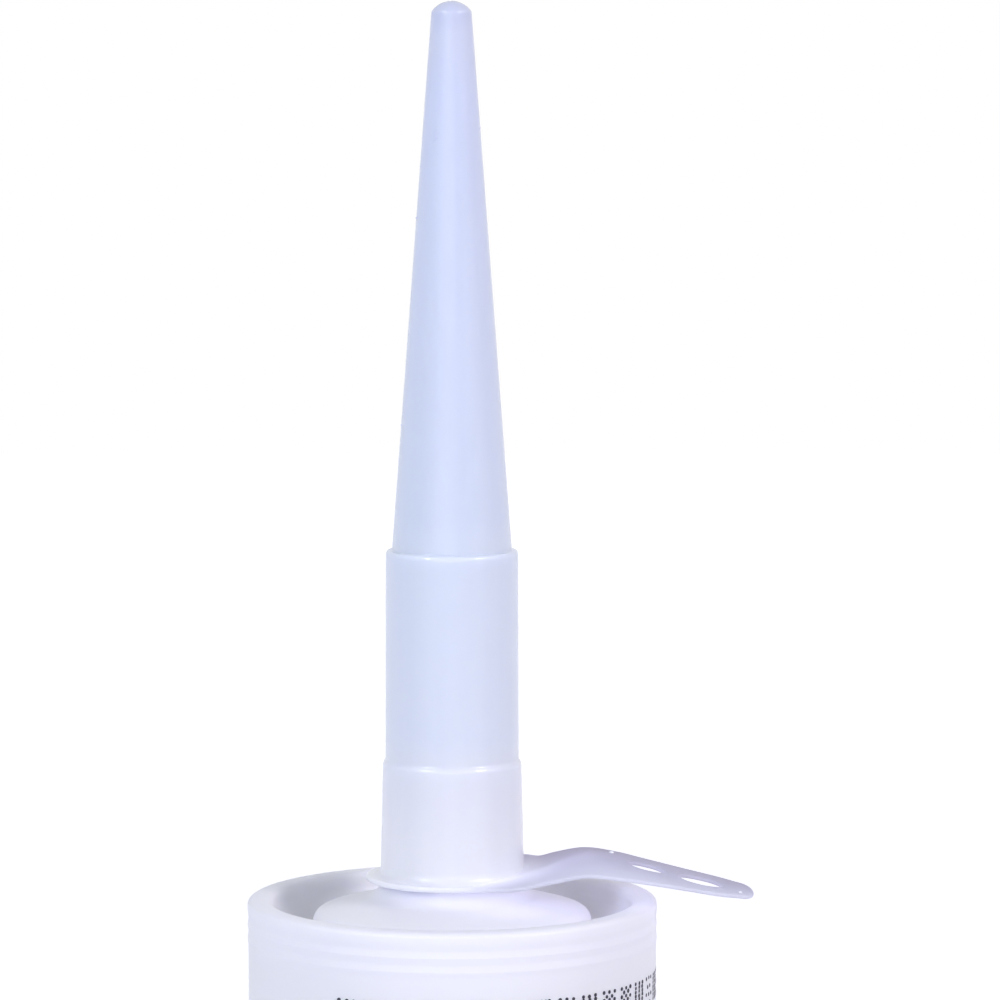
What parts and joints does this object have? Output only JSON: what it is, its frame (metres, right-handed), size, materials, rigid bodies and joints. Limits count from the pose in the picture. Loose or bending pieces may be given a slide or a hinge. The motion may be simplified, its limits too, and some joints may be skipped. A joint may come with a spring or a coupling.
{
  "type": "sealant cartridge",
  "caption": "White round cartridge of sealant with a recessed shoulder and a long closed screw-on nozzle that carries a hang tab; a piston closes the open rear.",
  "frame": {"origin": "on the floor, under the middle of the outline; the tube's own axis stands at x = -5.9 mm, because the hang tab reaches out on the +X side", "axes": "+Z along the tube to the nozzle's tip, +X towards the hang tab, +Y away from the viewer of the picture"},
  "size_m": [0.0618, 0.0498, 0.3239],
  "materials": {
    "white_hdpe": "injection-moulded white polyethylene, soft sheen",
    "natural_ldpe": "injection-moulded natural polyethylene, slightly see-through, waxy sheen",
    "piston_ldpe": "injection-moulded natural polyethylene, matt",
    "sealant_paste": "off-white uncured sealant paste"
  },
  "bodies": {
    "tube": {"cartridge": "white_hdpe", "sealant": "sealant_paste"},
    "nozzle": {"nozzle": "natural_ldpe"},
    "piston": {"piston": "piston_ldpe"}
  },
  "joints": [
    {"name": "nozzle_turn", "type": "hinge", "parent": "tube", "child": "nozzle", "pos_m": [-0.0059, 0, 0.21725], "axis": [0, 0, 1], "range_deg": [0, 1080]},
    {"name": "piston_slide", "type": "slide", "parent": "tube", "child": "piston", "axis": [0, 0, 1], "range_m": [0, 0.1765], "deforming": ["sealant"]}
  ]
}
